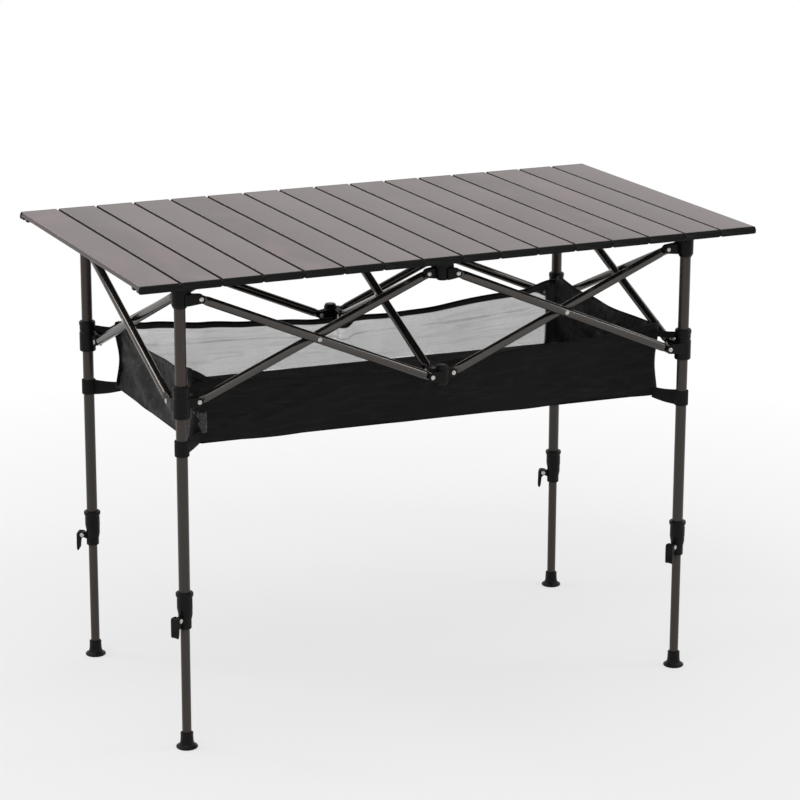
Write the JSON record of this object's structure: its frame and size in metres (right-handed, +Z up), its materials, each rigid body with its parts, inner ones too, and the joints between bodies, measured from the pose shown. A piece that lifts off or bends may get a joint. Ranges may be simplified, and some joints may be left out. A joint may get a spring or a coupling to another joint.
{
  "type": "folding camp table",
  "caption": "Roll-up slatted aluminium camp table on a folding scissor frame with telescopic legs, flip locks and a hanging fabric basket.",
  "frame": {"origin": "on the floor under the middle of the tabletop", "axes": "+Z up, +X along the length of the top, -Y the front; the slats run along Y"},
  "size_m": [0.9496, 0.531, 0.69],
  "materials": {
    "slats": "satin taupe-grey anodised",
    "braces": "satin dark grey paint",
    "legs": "satin dark brown-grey paint",
    "plastic": "moulded black, fine grain",
    "cloth": "black woven polyester with mesh panels"
  },
  "bodies": {
    "front_centre_hub": {"top_hub_front_centre": "plastic"},
    "leg_front_left": {"top_hub_front_left": "plastic", "leg_tube_front_left": "legs", "leg_lock_front_left": "plastic"},
    "lower_leg_front_left": {"leg_inner_front_left": "legs"},
    "lever_front_left": {"lock_lever_front_left": "plastic"},
    "slider_front_left": {"slider_front_left": "plastic"},
    "leg_front_right": {"top_hub_front_right": "plastic", "leg_tube_front_right": "legs", "leg_lock_front_right": "plastic"},
    "lower_leg_front_right": {"leg_inner_front_right": "legs"},
    "lever_front_right": {"lock_lever_front_right": "plastic"},
    "slider_front_right": {"slider_front_right": "plastic"},
    "leg_back_left": {"top_hub_back_left": "plastic", "leg_tube_back_left": "legs", "leg_lock_back_left": "plastic"},
    "lower_leg_back_left": {"leg_inner_back_left": "legs"},
    "lever_back_left": {"lock_lever_back_left": "plastic"},
    "slider_back_left": {"slider_back_left": "plastic"},
    "leg_back_right": {"top_hub_back_right": "plastic", "leg_tube_back_right": "legs", "leg_lock_back_right": "plastic"},
    "lower_leg_back_right": {"leg_inner_back_right": "legs"},
    "lever_back_right": {"lock_lever_back_right": "plastic"},
    "slider_back_right": {"slider_back_right": "plastic"},
    "back_centre_hub": {"top_hub_back_centre": "plastic"},
    "lower_front_hub": {"lower_hub_front_centre": "plastic", "basket": "cloth"},
    "lower_back_hub": {"lower_hub_back_centre": "plastic"},
    "brace_front_left_a": {"brace_front_left_a": "braces"},
    "brace_front_left_b": {"brace_front_left_b": "braces"},
    "brace_front_right_a": {"brace_front_right_a": "braces"},
    "brace_front_right_b": {"brace_front_right_b": "braces"},
    "brace_centre_a": {"brace_centre_a": "braces"},
    "brace_centre_b": {"brace_centre_b": "braces"},
    "brace_back_left_a": {"brace_back_left_a": "braces"},
    "brace_back_left_b": {"brace_back_left_b": "braces"},
    "brace_back_right_a": {"brace_back_right_a": "braces"},
    "brace_back_right_b": {"brace_back_right_b": "braces"},
    "brace_end_left_a": {"brace_end_left_a": "braces"},
    "brace_end_left_b": {"brace_end_left_b": "braces"},
    "brace_end_right_a": {"brace_end_right_a": "braces"},
    "brace_end_right_b": {"brace_end_right_b": "braces"},
    "slat_01": {"slat_01": "slats"},
    "slat_02": {"slat_02": "slats"},
    "slat_03": {"slat_03": "slats"},
    "slat_04": {"slat_04": "slats"},
    "slat_05": {"slat_05": "slats"},
    "slat_06": {"slat_06": "slats"},
    "slat_07": {"slat_07": "slats"},
    "slat_08": {"slat_08": "slats"},
    "slat_09": {"slat_09": "slats"},
    "slat_10": {"slat_10": "slats"},
    "slat_11": {"slat_11": "slats"},
    "slat_12": {"slat_12": "slats"},
    "slat_13": {"slat_13": "slats"},
    "slat_14": {"slat_14": "slats"},
    "slat_15": {"slat_15": "slats"},
    "slat_16": {"slat_16": "slats"}
  },
  "joints": [
    {"name": "frame_fold", "type": "hinge", "parent": "front_centre_hub", "child": "brace_centre_a", "pos_m": [0.00665, -0.174, 0.6515], "axis": [-1, 0, 0], "range_deg": [0, 60], "deforming": ["basket"]},
    {"name": "centre_crossing", "type": "hinge", "parent": "brace_centre_a", "child": "brace_centre_b", "pos_m": [0.00665, 0, 0.57725], "axis": [1, 0, 0], "range_deg": [0, 120.01]},
    {"name": "back_centre_top_turn", "type": "hinge", "parent": "brace_centre_b", "child": "back_centre_hub", "pos_m": [-0.00665, 0.174, 0.6515], "axis": [-1, 0, 0], "range_deg": [0, 60.01]},
    {"name": "back_centre_low_turn", "type": "hinge", "parent": "brace_centre_a", "child": "lower_back_hub", "pos_m": [0.00665, 0.174, 0.503], "axis": [1, 0, 0], "range_deg": [0, 60.01]},
    {"name": "front_left_a_turn", "type": "hinge", "parent": "front_centre_hub", "child": "brace_front_left_a", "pos_m": [-0.0195, -0.19485, 0.6515], "axis": [0, -1, 0], "range_deg": [0, 60.01]},
    {"name": "front_left_crossing", "type": "hinge", "parent": "brace_front_left_a", "child": "brace_front_left_b", "pos_m": [-0.1935, -0.19485, 0.57725], "axis": [0, 1, 0], "range_deg": [0, 120.01]},
    {"name": "front_left_top_turn", "type": "hinge", "parent": "brace_front_left_b", "child": "leg_front_left", "pos_m": [-0.3675, -0.20815, 0.6515], "axis": [0, -1, 0], "range_deg": [0, 60.01]},
    {"name": "front_left_low_turn", "type": "hinge", "parent": "brace_front_left_a", "child": "slider_front_left", "pos_m": [-0.3675, -0.19485, 0.503], "axis": [0, 1, 0], "range_deg": [0, 60.01]},
    {"name": "front_centre_low_turn", "type": "hinge", "parent": "brace_front_left_b", "child": "lower_front_hub", "pos_m": [-0.0195, -0.20815, 0.503], "axis": [0, -1, 0], "range_deg": [0, 60.01]},
    {"name": "front_right_a_turn", "type": "hinge", "parent": "front_centre_hub", "child": "brace_front_right_a", "pos_m": [0.0195, -0.20815, 0.6515], "axis": [0, 1, 0], "range_deg": [0, 60.01]},
    {"name": "front_right_crossing", "type": "hinge", "parent": "brace_front_right_a", "child": "brace_front_right_b", "pos_m": [0.1935, -0.20815, 0.57725], "axis": [0, -1, 0], "range_deg": [0, 120.01]},
    {"name": "front_right_top_turn", "type": "hinge", "parent": "brace_front_right_b", "child": "leg_front_right", "pos_m": [0.3675, -0.19485, 0.6515], "axis": [0, 1, 0], "range_deg": [0, 60.01]},
    {"name": "front_right_low_turn", "type": "hinge", "parent": "brace_front_right_a", "child": "slider_front_right", "pos_m": [0.3675, -0.20815, 0.503], "axis": [0, -1, 0], "range_deg": [0, 60.01]},
    {"name": "back_left_a_turn", "type": "hinge", "parent": "back_centre_hub", "child": "brace_back_left_a", "pos_m": [-0.0195, 0.20815, 0.6515], "axis": [0, -1, 0], "range_deg": [0, 60.01]},
    {"name": "back_left_crossing", "type": "hinge", "parent": "brace_back_left_a", "child": "brace_back_left_b", "pos_m": [-0.1935, 0.20815, 0.57725], "axis": [0, 1, 0], "range_deg": [0, 120.01]},
    {"name": "back_left_top_turn", "type": "hinge", "parent": "brace_back_left_b", "child": "leg_back_left", "pos_m": [-0.3675, 0.19485, 0.6515], "axis": [0, -1, 0], "range_deg": [0, 60.01]},
    {"name": "back_left_low_turn", "type": "hinge", "parent": "brace_back_left_a", "child": "slider_back_left", "pos_m": [-0.3675, 0.20815, 0.503], "axis": [0, 1, 0], "range_deg": [0, 60.01]},
    {"name": "back_right_a_turn", "type": "hinge", "parent": "back_centre_hub", "child": "brace_back_right_a", "pos_m": [0.0195, 0.19485, 0.6515], "axis": [0, 1, 0], "range_deg": [0, 60.01]},
    {"name": "back_right_crossing", "type": "hinge", "parent": "brace_back_right_a", "child": "brace_back_right_b", "pos_m": [0.1935, 0.19485, 0.57725], "axis": [0, -1, 0], "range_deg": [0, 120.01]},
    {"name": "back_right_top_turn", "type": "hinge", "parent": "brace_back_right_b", "child": "leg_back_right", "pos_m": [0.3675, 0.20815, 0.6515], "axis": [0, 1, 0], "range_deg": [0, 60.01]},
    {"name": "back_right_low_turn", "type": "hinge", "parent": "brace_back_right_a", "child": "slider_back_right", "pos_m": [0.3675, 0.19485, 0.503], "axis": [0, -1, 0], "range_deg": [0, 60.01]},
    {"name": "end_left_a_turn", "type": "hinge", "parent": "leg_front_left", "child": "brace_end_left_a", "pos_m": [-0.38835, -0.174, 0.6515], "axis": [-1, 0, 0], "range_deg": [0, 60.01]},
    {"name": "end_left_crossing", "type": "hinge", "parent": "brace_end_left_a", "child": "brace_end_left_b", "pos_m": [-0.38835, 0, 0.57725], "axis": [1, 0, 0], "range_deg": [0, 120.01]},
    {"name": "end_right_a_turn", "type": "hinge", "parent": "leg_front_right", "child": "brace_end_right_a", "pos_m": [0.40165, -0.174, 0.6515], "axis": [-1, 0, 0], "range_deg": [0, 60.01]},
    {"name": "end_right_crossing", "type": "hinge", "parent": "brace_end_right_a", "child": "brace_end_right_b", "pos_m": [0.40165, 0, 0.57725], "axis": [1, 0, 0], "range_deg": [0, 120.01]},
    {"name": "front_left_leg_slide", "type": "slide", "parent": "leg_front_left", "child": "lower_leg_front_left", "axis": [0, 0, 1], "range_m": [0, 0.15]},
    {"name": "front_left_lever_flip", "type": "hinge", "parent": "leg_front_left", "child": "lever_front_left", "pos_m": [-0.40842, -0.20925, 0.1945], "axis": [-0.5, 0.866, 0], "range_deg": [0, 90]},
    {"name": "front_right_leg_slide", "type": "slide", "parent": "leg_front_right", "child": "lower_leg_front_right", "axis": [0, 0, 1], "range_m": [0, 0.15]},
    {"name": "front_right_lever_flip", "type": "hinge", "parent": "leg_front_right", "child": "lever_front_right", "pos_m": [0.38158, -0.20925, 0.1945], "axis": [-0.5, 0.866, 0], "range_deg": [0, 90]},
    {"name": "back_left_leg_slide", "type": "slide", "parent": "leg_back_left", "child": "lower_leg_back_left", "axis": [0, 0, 1], "range_m": [0, 0.15]},
    {"name": "back_left_lever_flip", "type": "hinge", "parent": "leg_back_left", "child": "lever_back_left", "pos_m": [-0.40842, 0.20925, 0.1945], "axis": [0.5, 0.866, 0], "range_deg": [0, 90]},
    {"name": "back_right_leg_slide", "type": "slide", "parent": "leg_back_right", "child": "lower_leg_back_right", "axis": [0, 0, 1], "range_m": [0, 0.15]},
    {"name": "back_right_lever_flip", "type": "hinge", "parent": "leg_back_right", "child": "lever_back_right", "pos_m": [0.38158, 0.20925, 0.1945], "axis": [0.5, 0.866, 0], "range_deg": [0, 90]},
    {"name": "tabletop_lift", "type": "slide", "parent": "front_centre_hub", "child": "slat_01", "axis": [0, 0, 1], "range_m": [0, 0.3]},
    {"name": "slat_02_roll", "type": "hinge", "parent": "slat_01", "child": "slat_02", "pos_m": [-0.41563, 0, 0.6852], "axis": [0, -1, 0], "range_deg": [0, 26]},
    {"name": "slat_03_roll", "type": "hinge", "parent": "slat_02", "child": "slat_03", "pos_m": [-0.35625, 0, 0.6852], "axis": [0, -1, 0], "range_deg": [0, 27.43]},
    {"name": "slat_04_roll", "type": "hinge", "parent": "slat_03", "child": "slat_04", "pos_m": [-0.29688, 0, 0.6852], "axis": [0, -1, 0], "range_deg": [0, 28.86]},
    {"name": "slat_05_roll", "type": "hinge", "parent": "slat_04", "child": "slat_05", "pos_m": [-0.2375, 0, 0.6852], "axis": [0, -1, 0], "range_deg": [0, 30.29]},
    {"name": "slat_06_roll", "type": "hinge", "parent": "slat_05", "child": "slat_06", "pos_m": [-0.17813, 0, 0.6852], "axis": [0, -1, 0], "range_deg": [0, 31.71]},
    {"name": "slat_07_roll", "type": "hinge", "parent": "slat_06", "child": "slat_07", "pos_m": [-0.11875, 0, 0.6852], "axis": [0, -1, 0], "range_deg": [0, 33.14]},
    {"name": "slat_08_roll", "type": "hinge", "parent": "slat_07", "child": "slat_08", "pos_m": [-0.05937, 0, 0.6852], "axis": [0, -1, 0], "range_deg": [0, 34.57]},
    {"name": "slat_09_roll", "type": "hinge", "parent": "slat_08", "child": "slat_09", "pos_m": [0, 0, 0.6852], "axis": [0, -1, 0], "range_deg": [0, 36]},
    {"name": "slat_10_roll", "type": "hinge", "parent": "slat_09", "child": "slat_10", "pos_m": [0.05937, 0, 0.6852], "axis": [0, -1, 0], "range_deg": [0, 37.43]},
    {"name": "slat_11_roll", "type": "hinge", "parent": "slat_10", "child": "slat_11", "pos_m": [0.11875, 0, 0.6852], "axis": [0, -1, 0], "range_deg": [0, 38.86]},
    {"name": "slat_12_roll", "type": "hinge", "parent": "slat_11", "child": "slat_12", "pos_m": [0.17813, 0, 0.6852], "axis": [0, -1, 0], "range_deg": [0, 40.29]},
    {"name": "slat_13_roll", "type": "hinge", "parent": "slat_12", "child": "slat_13", "pos_m": [0.2375, 0, 0.6852], "axis": [0, -1, 0], "range_deg": [0, 41.71]},
    {"name": "slat_14_roll", "type": "hinge", "parent": "slat_13", "child": "slat_14", "pos_m": [0.29688, 0, 0.6852], "axis": [0, -1, 0], "range_deg": [0, 43.14]},
    {"name": "slat_15_roll", "type": "hinge", "parent": "slat_14", "child": "slat_15", "pos_m": [0.35625, 0, 0.6852], "axis": [0, -1, 0], "range_deg": [0, 44.57]},
    {"name": "slat_16_roll", "type": "hinge", "parent": "slat_15", "child": "slat_16", "pos_m": [0.41563, 0, 0.6852], "axis": [0, -1, 0], "range_deg": [0, 46]}
  ],
  "couplings": [
    {"joint": "centre_crossing", "follows": "frame_fold", "ratio": 2},
    {"joint": "back_centre_top_turn", "follows": "frame_fold", "ratio": 1},
    {"joint": "back_centre_low_turn", "follows": "frame_fold", "ratio": 1},
    {"joint": "front_left_a_turn", "follows": "frame_fold", "ratio": 1},
    {"joint": "front_left_crossing", "follows": "frame_fold", "ratio": 2},
    {"joint": "front_left_top_turn", "follows": "frame_fold", "ratio": 1},
    {"joint": "front_left_low_turn", "follows": "frame_fold", "ratio": 1},
    {"joint": "front_centre_low_turn", "follows": "frame_fold", "ratio": 1},
    {"joint": "front_right_a_turn", "follows": "frame_fold", "ratio": 1},
    {"joint": "front_right_crossing", "follows": "frame_fold", "ratio": 2},
    {"joint": "front_right_top_turn", "follows": "frame_fold", "ratio": 1},
    {"joint": "front_right_low_turn", "follows": "frame_fold", "ratio": 1},
    {"joint": "back_left_a_turn", "follows": "frame_fold", "ratio": 1},
    {"joint": "back_left_crossing", "follows": "frame_fold", "ratio": 2},
    {"joint": "back_left_top_turn", "follows": "frame_fold", "ratio": 1},
    {"joint": "back_left_low_turn", "follows": "frame_fold", "ratio": 1},
    {"joint": "back_right_a_turn", "follows": "frame_fold", "ratio": 1},
    {"joint": "back_right_crossing", "follows": "frame_fold", "ratio": 2},
    {"joint": "back_right_top_turn", "follows": "frame_fold", "ratio": 1},
    {"joint": "back_right_low_turn", "follows": "frame_fold", "ratio": 1},
    {"joint": "end_left_a_turn", "follows": "frame_fold", "ratio": 1},
    {"joint": "end_left_crossing", "follows": "frame_fold", "ratio": 2},
    {"joint": "end_right_a_turn", "follows": "frame_fold", "ratio": 1},
    {"joint": "end_right_crossing", "follows": "frame_fold", "ratio": 2}
  ]
}
